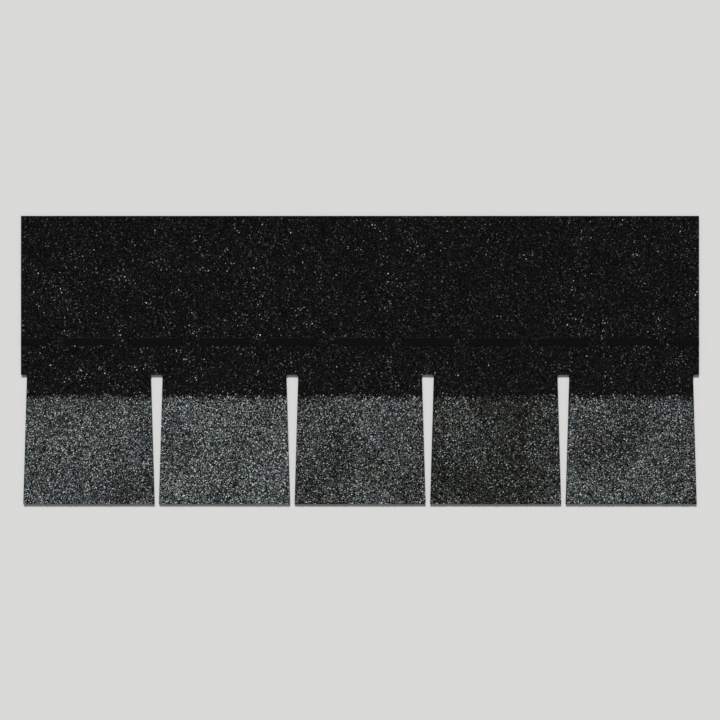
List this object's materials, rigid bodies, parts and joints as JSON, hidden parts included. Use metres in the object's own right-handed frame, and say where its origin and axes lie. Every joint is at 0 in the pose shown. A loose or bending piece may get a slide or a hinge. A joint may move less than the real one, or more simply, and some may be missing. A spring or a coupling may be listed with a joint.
{
  "type": "asphalt strip shingle",
  "caption": "Granule-surfaced asphalt roofing strip with tapered slots between its tabs, self-seal dashes on its face and a release film on its back.",
  "frame": {"origin": "middle of the back face, on the surface that the shingle lies on", "axes": "+X along the shingle, +Y up the roof from the butt edge to the head edge, +Z out of the granule face"},
  "size_m": [1.016, 0.4318, 0.0046],
  "materials": {
    "granule_surfaced_asphalt": "rough charcoal mineral granules",
    "sealant_bitumen": "glossy black bitumen",
    "polyester_film": "thin clear film over black coating"
  },
  "bodies": {
    "root": {"shingle_sheet": "granule_surfaced_asphalt", "sealant_strip": "sealant_bitumen", "release_film": "polyester_film"}
  },
  "joints": []
}
